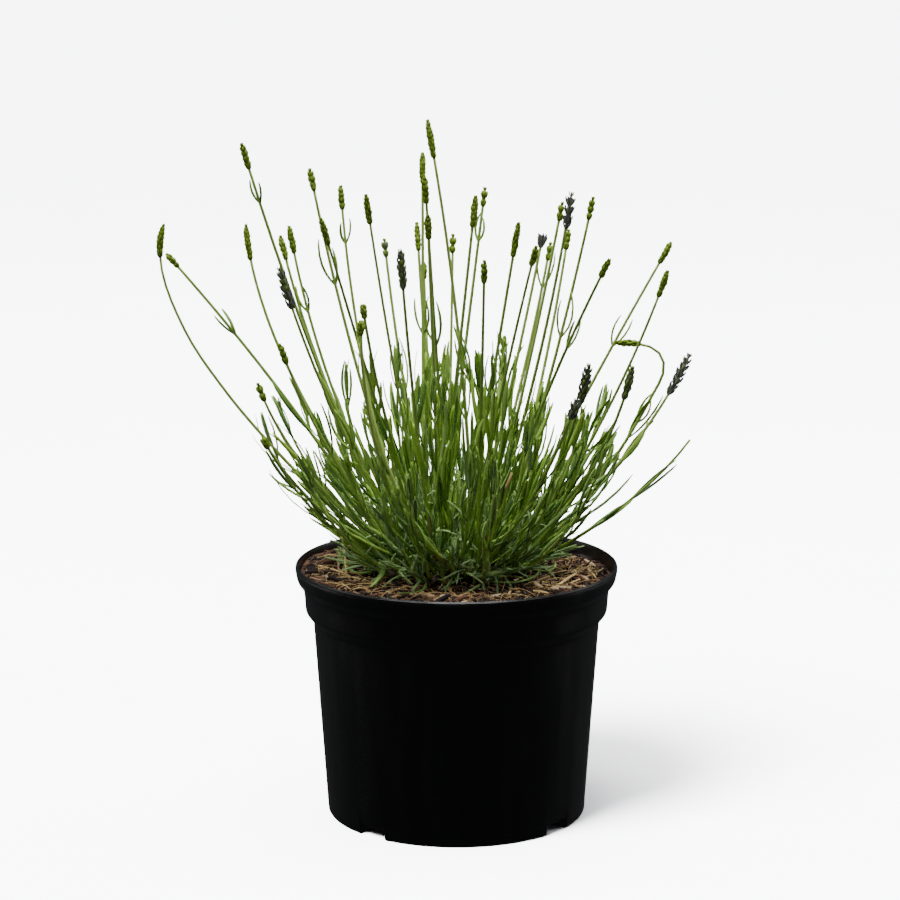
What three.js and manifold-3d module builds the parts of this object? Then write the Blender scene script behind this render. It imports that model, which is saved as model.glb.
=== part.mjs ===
// Potted lavender: a young plant with bud spikes in a black nursery pot.
// Millimetres, +Z up. The origin is the centre of the pot's base, on the floor.
// -Y is the front of the plant, and headings are degrees from +X towards +Y.

import * as THREE from 'three';
import { mergeVertices } from 'three/addons/utils/BufferGeometryUtils.js';
import Module from 'manifold-3d';

const wasm = await Module();
wasm.setup();

// ---- Driving dimensions ----

const POT_HEIGHT = 150;
const RIM_RADIUS = 95; // a 3 litre pot measures 190 across its lip
const BASE_RADIUS = 76.5;
const WALL = 1.7;
const FLOOR = 2.4;
const POT_SIDES = 48;
const NOTCHES = 4; // drainage notches round the foot
const NOTCH_TURN = 50; // heading of the first notch
const NOTCH_WIDTH = 19;
const NOTCH_HEIGHT = 6;

const CLEARANCE = 0.35; // gap kept between neighbouring pieces
const FINEST = 0.02; // joins leave no sliver finer than this
const SOIL_LEVEL = 143.5;
const TRUNK_RADIUS = 8;
const TRUNK_DEPTH = 40;

const BRANCHES = 10; // woody branches, spread like spokes just above the soil
const BRANCH_LENGTH = 48;
const BRANCH_HEIGHT = 149;
const ROOT_HEIGHT = 155; // where green stems leave the branches

const STEM_RADIUS = 1.05;
const SPIKE_RADIUS = 2.9;
const STEM_SIDES = 5;
const LEAF_LENGTH = 38;
const LEAF_HALF_WIDTH = 2.1;
const LEAF_FLATNESS = 0.36; // thickness over width
const LEAF_ANGLE = 32; // degrees between a leaf and its shoot

// ---- Plan of the plant ----

// Flower stems: branch number, distance out along it, the tip's x, y and z, how far the middle
// bellies outwards, the length of the bud spike and, where the tip turns upright, the lift.
const FLOWER_STEMS = [
  [5, 44, -167, -10, 352, 42, 20, 20], [5, 39, -170, 20, 331, -7, 11], [5, 34, -122, -20, 399, 5, 16],
  [5, 29, -98, 25, 347, 10, 17], [5, 24, -86, 30, 380, 5, 14],
  [6, 44, -109, -70, 239, 10, 8], [6, 39, -113, -45, 266, 12, 12], [6, 34, -100, -50, 289, 8, 13],
  [6, 29, -99, -60, 334, 8, 26], [6, 24, -75, -75, 363, 0, 17], [6, 19, -51, -45, 373, 2, 18],
  [6, 14, 11, -15, 369, 0, 19],
  [4, 44, -125, 50, 345, 21, 22, 9], [4, 39, -106, 70, 336, 10, 16], [4, 34, -69, 60, 367, 10, 15],
  [4, 24, -20, 45, 388, 0, 19], [4, 12, 17, 40, 368, 0, 12],
  [3, 44, -44, 95, 331, 6, 12], [3, 38, -20, 90, 317, 3, 11], [3, 32, -24, 85, 342, 2, 18],
  [3, 18, -2, 60, 338, 2, 12],
  [2, 44, 58, 100, 328, 5, 12], [2, 38, 30, 112, 268, 8, 12], [2, 32, 52, 60, 338, 2, 9],
  [1, 38, 127, 35, 336, -2, 15], [1, 32, 68, 75, 339, 6, 13], [1, 20, 62, 25, 361, 2, 12],
  [1, 12, -17, 10, 410, -5, 23],
  [0, 44, 137, 10, 274, 10, 28], [0, 38, 120, -30, 328, 7, 17], [0, 24, 79, 5, 366, 3, 14],
  [9, 44, 98, -70, 280, 12, 21], [9, 38, 73, -85, 284, 9, 26], [9, 24, 85, -65, 339, -6, 13],
  [9, 18, 65, -30, 373, 5, 22],
  [8, 44, 66, -100, 267, 8, 14], [8, 38, 15, -85, 341, 3, 14], [8, 24, 44, -70, 347, -3, 13],
  [8, 12, 35, -35, 356, 0, 21],
  [7, 44, -52, -105, 311, 20, 9], [7, 39, -31, -90, 348, 5, 24], [7, 34, -52, -80, 316, 8, 9],
  [7, 24, -16, -75, 365, 3, 15], [7, 12, -18, -40, 382, 0, 16],
];

// The one stem that has bent over, as points from its branch to the spike's drooping tip.
const HOOKED_STEM = {
  points: [[35.6, 25.9, 155], [62, 24, 178], [91, 21, 205], [107, 19, 231], [116, 18, 248],
    [121.5, 18, 260], [121, 18, 269], [115, 18, 275], [108, 18, 277], [92, 17, 278.5]],
  spike: 16,
};

// Leafy shoots: branch number, distance out, the tip's x, y and z, the belly and the leaf pairs.
const LEAFY_SHOOTS = [
  [1, 48, 92, 62, 215, 8, 4], [2, 48, 38, 104, 225, 8, 4], [3, 48, -42, 100, 218, 8, 4],
  [4, 48, -96, 60, 212, 10, 4], [5, 48, -106, -15, 208, 12, 4], [6, 48, -86, -58, 200, 9, 4],
  [7, 48, -34, -98, 200, 7, 4], [8, 48, 30, -100, 206, 7, 4], [9, 48, 84, -66, 208, 9, 4],
  [0, 12, 32, 8, 258, 3, 4], [5, 14, -38, 6, 252, 3, 4],
];

// A shoot that was cut off above its second pair of leaves.
const CUT_SHOOT = [0, 48, 134, -20, 228, 12, 2];

// ---- Materials ----

const blackPlastic = { color: 0x0c0c0e, roughness: 0.42, metalness: 0 };
const barkCompost = { color: 0x5a3c28, roughness: 0.95, metalness: 0 };
const greyWood = { color: 0x6f6350, roughness: 0.85, metalness: 0 };
const greenStem = { color: 0x7c9a3c, roughness: 0.6, metalness: 0 };
const greenLeaf = { color: 0x4d7434, roughness: 0.65, metalness: 0 };

// ---- Helpers ----

const vec = (x, y, z) => new THREE.Vector3(x, y, z);
const radians = THREE.MathUtils.degToRad;

function mesh(name, geometry, material) {
  const object = new THREE.Mesh(geometry, new THREE.MeshStandardMaterial(material));
  object.name = name;
  return object;
}

function solid(geometry) {
  geometry.deleteAttribute('normal');
  geometry.deleteAttribute('uv');
  const merged = mergeVertices(geometry, 1e-4);
  return new wasm.Manifold(new wasm.Mesh({
    numProp: 3,
    vertProperties: new Float32Array(merged.attributes.position.array),
    triVerts: new Uint32Array(merged.index.array),
  }));
}

function geometryOf(body) {
  const { vertProperties, triVerts } = body.getMesh();
  const geometry = new THREE.BufferGeometry();
  geometry.setAttribute('position', new THREE.BufferAttribute(vertProperties, 3));
  geometry.setIndex(new THREE.BufferAttribute(triVerts, 1));
  geometry.computeVertexNormals();
  return geometry;
}

// A profile of [radius, height] pairs turned about +Z.
function turned(profile, sides) {
  const points = profile.map(([radius, height]) => new THREE.Vector2(radius, height));
  return new THREE.LatheGeometry(points, sides).rotateX(Math.PI / 2);
}

// A profile of [radius, distance] pairs turned about a curve: the lathe's axis is bent along it,
// and squashed across the direction "wide" so that a blade comes out flat.
function swept(profile, curve, sides, { wide = null, flatness = 1 } = {}) {
  const points = profile.map(([radius, distance]) => new THREE.Vector2(radius, distance));
  const geometry = new THREE.LatheGeometry(points, sides);
  const position = geometry.attributes.position;
  const length = curve.getLength();
  const frames = curve.computeFrenetFrames(60);
  for (let i = 0; i < position.count; i++) {
    const t = THREE.MathUtils.clamp(position.getY(i) / length, 0, 1);
    const k = Math.round(60 * t);
    const tangent = frames.tangents[k];
    const side = wide ? wide.clone().addScaledVector(tangent, -wide.dot(tangent)).normalize()
      : frames.normals[k];
    const up = vec(0, 0, 0).crossVectors(side, tangent);
    const spot = curve.getPointAt(t);
    spot.addScaledVector(side, position.getX(i));
    spot.addScaledVector(up, position.getZ(i) * flatness);
    position.setXYZ(i, spot.x, spot.y, spot.z);
  }
  return geometry;
}

function branchPoint(branch, distance) {
  const heading = radians(branch * 360 / BRANCHES);
  return vec(distance * Math.cos(heading), distance * Math.sin(heading), ROOT_HEIGHT);
}

// A stem's path: an arc from root to tip whose middle bellies outwards, away from the pot's axis,
// and lies higher by the lift, which leaves the tip more upright.
function arc(root, tip, belly, lift = 0) {
  const outward = vec(tip.x - root.x, tip.y - root.y, 0);
  if (outward.length() < 1) outward.set(1, 0, 0);
  outward.normalize();
  const middle = root.clone().lerp(tip, 0.5).addScaledVector(outward, 2 * belly);
  middle.z += 2 * lift;
  return new THREE.QuadraticBezierCurve3(root, middle, tip);
}

// ---- The pot ----

function potProfile() {
  const inner = (radius) => radius - WALL;
  return [
    [0, 0], [BASE_RADIUS - 2, 0], [BASE_RADIUS, 1.5],
    [84.5, 117], [89, 122.5], [90, 136], [94, 141.5],
    [RIM_RADIUS, 147.5], [94.6, 149.4], [93.8, POT_HEIGHT], [92.8, 149.4],
    [inner(94), 141.8], [inner(90), 136.6], [inner(89), 123.2], [inner(84.5), 117.8],
    [BASE_RADIUS + 0.3 - WALL, FLOOR + 1.5], [BASE_RADIUS - 3.2, FLOOR], [0, FLOOR],
  ];
}

// A drainage notch: an arched slot through the foot of the wall and the edge of the floor.
function notch(heading) {
  const half = NOTCH_WIDTH / 2;
  const outline = new THREE.Shape();
  outline.moveTo(-half, -2);
  outline.lineTo(half, -2);
  outline.lineTo(half, NOTCH_HEIGHT - 3);
  outline.quadraticCurveTo(half, NOTCH_HEIGHT, half - 4, NOTCH_HEIGHT);
  outline.lineTo(4 - half, NOTCH_HEIGHT);
  outline.quadraticCurveTo(-half, NOTCH_HEIGHT, -half, NOTCH_HEIGHT - 3);
  outline.closePath();
  const depth = 18;
  const geometry = new THREE.ExtrudeGeometry(outline, { depth, bevelEnabled: false, curveSegments: 3 });
  geometry.rotateX(Math.PI / 2).rotateZ(Math.PI / 2);
  geometry.translate(BASE_RADIUS + 4 - depth, 0, 0).rotateZ(radians(heading));
  return solid(geometry);
}

function pot() {
  let body = solid(turned(potProfile(), POT_SIDES));
  for (let i = 0; i < NOTCHES; i++) {
    body = body.subtract(notch(NOTCH_TURN + i * 360 / NOTCHES));
  }
  return mesh('nursery_pot', geometryOf(body), blackPlastic);
}

// ---- The compost ----

// The bark lies higher at the front and left, and has sunk at the back right.
function soilRise(x, y) {
  const radius = Math.hypot(x, y);
  const rim = THREE.MathUtils.smoothstep(radius, 52, 84);
  const tilt = (-x - y) / (RIM_RADIUS * Math.SQRT2);
  return rim * (0.5 + 2.6 * tilt + 0.7 * Math.sin(0.11 * x + 1) * Math.cos(0.13 * y));
}

function compost() {
  const well = TRUNK_RADIUS + CLEARANCE;
  const wellFloor = SOIL_LEVEL - TRUNK_DEPTH;
  const gap = WALL + CLEARANCE + 0.1;
  const geometry = turned([
    [0, FLOOR + 4], [66, FLOOR + 4], [BASE_RADIUS + 0.8 - gap, FLOOR + 10], [84.5 - gap, 118.6],
    [86.2, 124.2], [87.2, 135.8], [87.8, 137.2],
    [82, SOIL_LEVEL], [74, SOIL_LEVEL], [63, SOIL_LEVEL], [52, SOIL_LEVEL],
    [well, SOIL_LEVEL], [well, wellFloor], [0, wellFloor],
  ], 40);
  const position = geometry.attributes.position;
  for (let i = 0; i < position.count; i++) {
    const [x, y, z] = [position.getX(i), position.getY(i), position.getZ(i)];
    if (Math.abs(z - SOIL_LEVEL) < 0.01) position.setZ(i, z + soilRise(x, y));
  }
  return mesh('bark_compost', geometryOf(solid(geometry)), barkCompost);
}

// ---- The woody crown ----

function trunk() {
  const foot = SOIL_LEVEL - TRUNK_DEPTH + CLEARANCE;
  return solid(turned([
    [0, foot], [TRUNK_RADIUS - 2, foot + 2], [TRUNK_RADIUS, foot + 14], [TRUNK_RADIUS, BRANCH_HEIGHT - 2],
    [TRUNK_RADIUS - 3, BRANCH_HEIGHT + 3], [0, BRANCH_HEIGHT + 4.4],
  ], 12));
}

function branch(number) {
  const heading = radians(number * 360 / BRANCHES);
  const at = (distance, height) => vec(distance * Math.cos(heading), distance * Math.sin(heading), height);
  const path = new THREE.QuadraticBezierCurve3(
    at(2, BRANCH_HEIGHT - 1), at(BRANCH_LENGTH / 2, BRANCH_HEIGHT), at(BRANCH_LENGTH + 2, BRANCH_HEIGHT + 1.5));
  const length = path.getLength();
  return solid(swept([
    [0, 0], [3.8, 0], [3.5, 0.35 * length], [3, 0.8 * length], [2.6, 0.97 * length], [0, length],
  ], path, 7));
}

function crown() {
  let body = trunk();
  for (let i = 0; i < BRANCHES; i++) body = body.add(branch(i));
  return mesh('woody_crown', geometryOf(body.simplify(FINEST)), greyWood);
}

// ---- Flower stems ----

// The outline of a stem that ends in a spike of swollen whorls.
function stemProfile(length, spike, swell = 0) {
  const neck = length - spike;
  const rows = [[0, -swell], [STEM_RADIUS, -swell]];
  for (const part of [0.2, 0.4, 0.6, 0.8]) rows.push([STEM_RADIUS * (1.02 - 0.1 * part), part * neck]);
  rows.push([0.95, neck]);
  const shape = [[0.1, 0.8], [0.32, 0.92], [0.46, 0.72], [0.64, 1], [0.84, 0.66]];
  for (const [part, width] of shape) rows.push([width * SPIKE_RADIUS, neck + part * spike]);
  rows.push([0, length]);
  return rows.map(([radius, distance], i) => [
    i === 0 || i === rows.length - 1 ? 0 : radius + swell, distance]);
}

function flowerStemSolid(path, spike, swell = 0) {
  return solid(swept(stemProfile(path.getLength(), spike, swell), path, STEM_SIDES));
}

function flowerStemPath([branchNumber, distance, x, y, z, belly, , lift]) {
  return arc(branchPoint(branchNumber, distance), vec(x, y, z), belly, lift);
}

// ---- Leafy shoots ----

// One leaf: a blade that leaves its shoot at an angle and curves back up towards it.
function leaf(base, axis, side, length, swell) {
  const lean = radians(LEAF_ANGLE);
  const out = axis.clone().multiplyScalar(Math.cos(lean)).addScaledVector(side, Math.sin(lean));
  const middle = base.clone().addScaledVector(out, 0.55 * length);
  const tip = base.clone().addScaledVector(out, 0.86 * length).addScaledVector(axis, 0.14 * length);
  const path = new THREE.QuadraticBezierCurve3(base, middle, tip);
  const reach = path.getLength();
  const half = LEAF_HALF_WIDTH;
  const rows = [
    [0, 0], [0.45 * half + swell, 0], [half + swell, 0.45 * reach], [0.75 * half + swell, 0.8 * reach],
    [0, reach]];
  const wide = vec(0, 0, 0).crossVectors(axis, side);
  return solid(swept(rows, path, 4, { wide, flatness: LEAF_FLATNESS + swell / half }));
}

function leafyShootSolid([branchNumber, distance, x, y, z, belly, pairs], { cut = false, swell = 0 } = {}) {
  const path = arc(branchPoint(branchNumber, distance), vec(x, y, z), belly);
  const length = path.getLength();
  const radius = STEM_RADIUS + swell;
  let body = solid(swept([
    [0, 0], [radius, 0], [radius, 0.35 * length], [radius, 0.7 * length], [radius * 0.9, length - 0.1],
    [0, length],
  ], path, STEM_SIDES));
  for (let i = 0; i < pairs; i++) {
    const part = cut ? 0.3 + 0.25 * i : 0.3 + 0.66 * i / (pairs - 1);
    const axis = path.getTangentAt(part).normalize();
    const level = vec(-axis.y, axis.x, 0).normalize();
    const side = i % 2 ? level : vec(0, 0, 0).crossVectors(axis, level).normalize();
    const base = path.getPointAt(part);
    const size = LEAF_LENGTH * (1 - 0.09 * i);
    for (const sign of [1, -1]) {
      body = body.add(leaf(base, axis, side.clone().multiplyScalar(sign), size, swell));
    }
  }
  return body;
}

// What is left of a shoot once its neighbours' clearances are cut away: the piece on its own root.
function trimmed(body, neighbours) {
  let left = body;
  for (const other of neighbours) left = left.subtract(other);
  const pieces = left.decompose();
  return pieces.reduce((best, piece) => (piece.volume() > best.volume() ? piece : best));
}

// ---- The whole plant ----

const lavender = new THREE.Group();
lavender.add(pot(), compost(), crown());

const kept = []; // each finished stem, swollen by the clearance
FLOWER_STEMS.forEach((row, i) => {
  const path = flowerStemPath(row);
  const spike = row[6];
  kept.push(flowerStemSolid(path, spike, CLEARANCE));
  const name = `flower_stem_${String(i + 1).padStart(2, '0')}`;
  lavender.add(mesh(name, geometryOf(flowerStemSolid(path, spike)), greenStem));
});

const hookPath = new THREE.CatmullRomCurve3(HOOKED_STEM.points.map(([x, y, z]) => vec(x, y, z)));
kept.push(flowerStemSolid(hookPath, HOOKED_STEM.spike, CLEARANCE));
lavender.add(mesh('hooked_flower_stem', geometryOf(flowerStemSolid(hookPath, HOOKED_STEM.spike)), greenStem));

function addShoot(name, row, options = {}) {
  const body = trimmed(leafyShootSolid(row, options), kept);
  kept.push(leafyShootSolid(row, { ...options, swell: CLEARANCE }));
  lavender.add(mesh(name, geometryOf(body.simplify(FINEST)), greenLeaf));
}

addShoot('cut_shoot', CUT_SHOOT, { cut: true });
LEAFY_SHOOTS.forEach((row, i) => addShoot(`leafy_shoot_${String(i + 1).padStart(2, '0')}`, row));

export default lavender;
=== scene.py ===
import math

import bpy
import numpy as np
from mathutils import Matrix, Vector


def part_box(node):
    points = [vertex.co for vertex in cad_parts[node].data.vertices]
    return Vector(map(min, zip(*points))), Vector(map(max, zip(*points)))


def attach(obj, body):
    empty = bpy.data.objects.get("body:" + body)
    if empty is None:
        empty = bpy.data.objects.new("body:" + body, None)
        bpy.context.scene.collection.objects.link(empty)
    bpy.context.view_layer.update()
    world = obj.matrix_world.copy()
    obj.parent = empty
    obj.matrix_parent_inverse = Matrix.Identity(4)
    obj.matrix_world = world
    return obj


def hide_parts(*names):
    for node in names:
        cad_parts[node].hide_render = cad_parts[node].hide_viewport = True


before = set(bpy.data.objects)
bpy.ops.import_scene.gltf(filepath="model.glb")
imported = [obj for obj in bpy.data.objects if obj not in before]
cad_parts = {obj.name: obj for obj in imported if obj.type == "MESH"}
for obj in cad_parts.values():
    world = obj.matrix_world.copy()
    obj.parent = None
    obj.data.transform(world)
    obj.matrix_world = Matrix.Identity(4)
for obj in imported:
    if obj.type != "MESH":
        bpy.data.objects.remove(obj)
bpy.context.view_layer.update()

bl_info = {
    "name": "Potted lavender",
    "version": (1, 0, 0),
    "blender": (4, 5, 0),
    "location": "3D View > Sidebar > Lavender",
    "description": "A young lavender with bud spikes in a black nursery pot",
    "category": "Object",
}

# ---- Sizes taken from the frame ----

POT_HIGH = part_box("nursery_pot")[1]
CROWN_LOW, CROWN_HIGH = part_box("woody_crown")
MM = 0.001

FLOWER_STEMS = sorted(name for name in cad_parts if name.startswith("flower_stem_"))
LEAFY_SHOOTS = sorted(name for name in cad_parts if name.startswith("leafy_shoot_"))

# How far each coloured spike has opened, by stem number, from 0 for tight green buds to 1 for
# dark violet whorls. Stems that are not named here are green.
RIPE = {9: 0.75, 18: 0.15, 24: 1.0, 29: 0.95, 32: 0.35, 33: 0.7, 35: 1.0, 36: 0.85, 41: 0.55}

# The pairs of leaves that stand high up on some flower stems: height and leaf length in millimetres.
HIGH_PAIRS = {
    2: (284, 19), 3: (364, 13), 4: (296, 16), 5: (312, 25), 15: (332, 14), 16: (281, 20), 17: (336, 15),
    22: (300, 22), 25: (274, 19), 31: (284, 24), 34: (285, 19), 44: (284, 26),
}

# The bent stem's route from its branch to the tip of its drooping spike, and its spike's length.
HOOKED_ROUTE = MM * np.array([
    [35.6, 25.9, 155], [62, 24, 178], [91, 21, 205], [107, 19, 231], [116, 18, 248],
    [121.5, 18, 260], [121, 18, 269], [115, 18, 275], [108, 18, 277], [92, 17, 278.5]])
HOOKED_SPIKE = 16 * MM
HOOKED_PAIR = (231, 18)

# A pale stem that bows down in front of the leaves, from the soil up.
FRONT_ROUTE = MM * np.array([
    [-1, -36, 150], [-3, -46, 158], [-12, -64, 171], [-29, -84, 202], [-39, -88, 228], [-46, -86, 251],
    [-51, -80, 273], [-54, -72, 292]])

# Loose leaves near the soil: foot, middle and tip, then the width, in millimetres.
LOOSE_LEAVES = np.array([
    [-71, 21, 153, -56, -18, 147.5, -34, 21, 151.5, 3.4], [-46, 0, 158, -42, -28, 153, -49, -56, 149, 3.2],
    [-24, -18, 154, -21, -42, 149.5, -1, -38, 151, 2.8],
    [-20, -36, 151.5, -19, -62, 149, -34, -71, 149.5, 1.5],
    [48, -30, 152, 38, -44, 149.5, 20, -48, 150, 2.4], [36, -20, 153, 52, -30, 152, 58, -12, 153, 1.8]])
# Dead stems that stand or lean in the plant: foot, middle and tip, then the width.
DEAD_STEMS = np.array([
    [-64, -28, 148, -66, -16, 164, -70, -8, 177, 1.0], [8, -34, 150, 17, -54, 178, 31, -64, 217, 1.5],
    [-62, 30, 148, -62, 31, 166, -63, 30, 185, 0.9], [-60, 12, 148, -62, 4, 160, -60, 2, 172, 0.7],
    [-8, -38, 150, -14, -46, 170, -16, -50, 192, 1.1]])

# Where leafy shoots start: the branches' height, the foot of the leafy shoots on them, and the foot
# of the low ones in the compost.
BRANCH_HEIGHT = 149 * MM
SHOOT_FOOT = 151 * MM
ROSETTE_FOOT = 146 * MM
# Each shoot stands this far round from the one before it, so that they spread evenly.
GOLDEN_TURN = math.radians(137.508)
# The outermost leafy shoots lean this far.
MOST_LEAN = math.radians(47)
# The pot's drainage notches.
NOTCHES = 4
FIRST_NOTCH = np.radians(50)
# How far the floor and the backdrop reach round the object, in metres.
FLOOR_REACH = 30
BACKDROP_REACH = 28

# ---- Outlines that are carried along a line, as pairs of shares of the half width and depth ----


def ring_outline(sides):
    """Points evenly round a circle."""
    turn = 2 * np.pi * np.arange(sides) / sides
    return np.stack([np.cos(turn), np.sin(turn)], 1)


# A lavender stem is square with narrow rounded edges.
SQUARE = np.array([
    [1, -0.62], [1, 0.62], [0.62, 1], [-0.62, 1], [-1, 0.62], [-1, -0.62], [-0.62, -1], [0.62, -1]])
# A leaf has a groove along its face, margins rolled back and a midrib behind.
LEAF = np.array([[1, -0.7], [0.55, 0.85], [0, 0.3], [-0.55, 0.85], [-1, -0.7], [0, -0.8]])
# A splinter of bark is an uneven wedge.
SPLINTER = np.array([[1, -0.5], [0.55, 0.8], [-0.45, 1], [-1, 0], [-0.3, -0.9]])

# ---- Lines and skins ----


def unit(vectors):
    """The vectors at length one."""
    return vectors / np.maximum(np.linalg.norm(vectors, axis=-1, keepdims=True), 1e-12)


def along(points, share):
    """Places at shares 0 to 1 of a smooth curve through the points: a cubic between each two, whose
    slope at each point is that of its neighbours."""
    reach = np.r_[0, np.cumsum(np.linalg.norm(np.diff(points, axis=0), axis=1))]
    slope = np.gradient(points, reach, axis=0)
    at = np.asarray(share, float) * reach[-1]
    k = np.clip(np.searchsorted(reach, at, side="right") - 1, 0, len(points) - 2)
    gap = np.diff(reach)[k]
    t = ((at - reach[k]) / gap)[:, None]
    gap = gap[:, None]
    return (
        (2 * t**3 - 3 * t**2 + 1) * points[k] + (t**3 - 2 * t**2 + t) * gap * slope[k]
        + (3 * t**2 - 2 * t**3) * points[k + 1] + (t**3 - t**2) * gap * slope[k + 1])


def heading(points, share):
    """The curve's direction at those shares, from the places just before and after them."""
    step = 0.004
    return unit(along(points, np.minimum(np.asarray(share) + step, 1))
                - along(points, np.maximum(np.asarray(share) - step, 0)))


def length_of(points):
    return float(np.linalg.norm(np.diff(points, axis=0), axis=1).sum())


def bent(start, middle, end, share):
    """Strands bent once: at share t each is (1-t)^2 start + 2t(1-t) middle + t^2 end."""
    t = np.asarray(share)[:, None]
    start, middle, end = (p[..., None, :] for p in (start, middle, end))
    return (1 - t) ** 2 * start + 2 * t * (1 - t) * middle + t**2 * end


def skin(path, across, width, depth, outline):
    """Closed strands. At each station of each path the outline is scaled by the half width along
    `across`, made square to the path, and by the half depth square to both."""
    ahead = unit(np.gradient(path, axis=-2))
    across = across[..., None, :]
    across = unit(across - ahead * (across * ahead).sum(-1, keepdims=True))
    through = np.cross(ahead, across)
    return (
        path[..., None, :]
        + across[..., None, :] * (width[..., None] * outline[:, 0])[..., None]
        + through[..., None, :] * (depth[..., None] * outline[:, 1])[..., None])


def turned(profile, turns, shape=None):
    """A profile of (radius, height) carried round the pot's axis, as one closed skin. `shape` may
    move the points: it gets radius, height and turn on the grid, and gives the new height."""
    radius, height = (column[:, None] + 0 * turns[None] for column in profile.T)
    if shape is not None:
        height = shape(radius, height, turns[None] + 0 * radius)
    return np.stack([radius * np.cos(turns), radius * np.sin(turns), height], -1)[None]


def square_to(direction, turn):
    """Unit vectors square to the directions, at an angle round each of them."""
    flat = np.where(np.abs(direction[..., 2:]) > 0.95, np.array([1.0, 0, 0]), np.array([0, 0, 1.0]))
    first = unit(np.cross(direction, flat))
    second = np.cross(direction, first)
    turn = np.asarray(turn)[..., None]
    return first * np.cos(turn) + second * np.sin(turn)


def lumps(x, y, size, seed):
    """Smooth random heights from -1 to 1: values on a square lattice of that size, eased between."""
    table = np.random.default_rng(seed).uniform(-1, 1, (64, 64))
    x, y = x / size, y / size
    i, j = np.floor(x).astype(int), np.floor(y).astype(int)
    u, v = (w * w * (3 - 2 * w) for w in (x - i, y - j))
    i, j, k, m = i % 64, j % 64, (i + 1) % 64, (j + 1) % 64
    return ((table[i, j] * (1 - u) + table[k, j] * u) * (1 - v)
            + (table[i, m] * (1 - u) + table[k, m] * u) * v)


# ---- Meshes ----


def faces_of(rings, sides):
    """Corners and map places of one closed strand: a quad between each two rings and sides, and a
    fan to a pole at each end. The map is the unrolled strand."""
    i, j = (grid.ravel() for grid in np.mgrid[0:rings - 1, 0:sides])
    k = (j + 1) % sides
    quads = np.stack([i * sides + j, i * sides + k, (i + 1) * sides + k, (i + 1) * sides + j], 1)
    low, high = (i + 0.5) / rings, (i + 1.5) / rings
    quad_map = np.stack([j, low, j + 1, low, j + 1, high, j, high], 1).reshape(-1, 4, 2)
    j = np.arange(sides)
    k = (j + 1) % sides
    foot, tip = rings * sides + 0 * j, rings * sides + 1 + 0 * j
    last = (rings - 1) * sides
    fans = np.concatenate([np.stack([foot, k, j], 1), np.stack([tip, last + j, last + k], 1)])
    edge = 0.5 / rings + 0 * j
    foot_map = np.stack([j + 0.5, 0 * edge, j + 1, edge, j, edge], 1)
    tip_map = np.stack([j + 0.5, 0 * edge + 1, j, 1 - edge, j + 1, 1 - edge], 1)
    fan_map = np.concatenate([foot_map, tip_map]).reshape(-1, 3, 2)
    for places in (quad_map, fan_map):
        places[..., 0] /= sides
    return quads, quad_map, fans, fan_map


def piece(name, parts, material, replaces=()):
    """One mesh object of closed strands that rides on the root body. Each part is a skin, shaped
    (strands, rings, sides, 3), with a dict of values for its strands, (strands,) or (strands,
    rings), kept as vertex attributes. Each strand has a cell of the map to itself."""
    spots, corners, counts, maps, values = [], [], [], [], {}
    total = sum(len(points) for points, _ in parts)
    columns = math.ceil(math.sqrt(total))
    margin = 0.06 if total > 1 else 0.01
    names = sorted({key for _, given in parts for key in given})
    first, done = 0, 0
    for points, given in parts:
        strands, rings, sides, _ = points.shape
        each = rings * sides + 2
        ends = [points[:, end].mean(1)[:, None] for end in (0, -1)]
        spots.append(np.concatenate([points.reshape(strands, -1, 3), *ends], 1).reshape(-1, 3))
        place = done + np.arange(strands)
        cell = np.stack([place % columns, place // columns], 1)[:, None, None]
        quads, quad_map, fans, fan_map = faces_of(rings, sides)
        for corner, spread in ((quads, quad_map), (fans, fan_map)):
            shift = first + each * np.arange(strands)[:, None, None]
            corners.append((corner[None] + shift).ravel())
            counts.append(np.full(strands * len(corner), corner.shape[1]))
            maps.append(((cell + margin + (1 - 2 * margin) * spread[None]) / columns).reshape(-1, 2))
        for key in names:
            value = np.asarray(given.get(key, 0.0), float)
            value = value.reshape(value.shape + (1,) * (3 - value.ndim))
            full = np.broadcast_to(value, (strands, rings, sides)).reshape(strands, -1)
            poles = full[:, [0, -1]]
            values.setdefault(key, []).append(np.concatenate([full, poles], 1).ravel())
        first += strands * each
        done += strands
    spots, corners, counts, maps = map(np.concatenate, (spots, corners, counts, maps))
    mesh = bpy.data.meshes.new(name)
    mesh.vertices.add(len(spots))
    mesh.vertices.foreach_set("co", spots.astype(np.float32).ravel())
    mesh.loops.add(len(corners))
    mesh.loops.foreach_set("vertex_index", corners.astype(np.int32))
    mesh.polygons.add(len(counts))
    mesh.polygons.foreach_set("loop_start", (np.cumsum(counts) - counts).astype(np.int32))
    mesh.polygons.foreach_set("use_smooth", np.ones(len(counts), bool))
    mesh.uv_layers.new(name="OFBake").uv.foreach_set("vector", maps.astype(np.float32).ravel())
    for key, value in values.items():
        layer = mesh.attributes.new(key, "FLOAT", "POINT")
        layer.data.foreach_set("value", np.concatenate(value).astype(np.float32))
    mesh.update(calc_edges=True)
    if mesh.validate():
        raise RuntimeError(f"{name}: the mesh had faults")
    mesh.materials.append(material)
    made = bpy.data.objects.new(name, mesh)
    bpy.context.scene.collection.objects.link(made)
    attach(made, "root")
    if replaces:
        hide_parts(*replaces)
    return made


# ---- Reading the frame ----


def cad_mesh(node):
    """A CAD node's points, merged where they meet, and its triangles."""
    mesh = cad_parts[node].data
    spots = np.empty(3 * len(mesh.vertices), np.float32)
    mesh.vertices.foreach_get("co", spots)
    corners = np.empty(len(mesh.loops), np.int32)
    mesh.loops.foreach_get("vertex_index", corners)
    merged, place = np.unique(spots.reshape(-1, 3).round(6), axis=0, return_inverse=True)
    return merged.astype(float), place.ravel()[corners].reshape(-1, 3)


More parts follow.
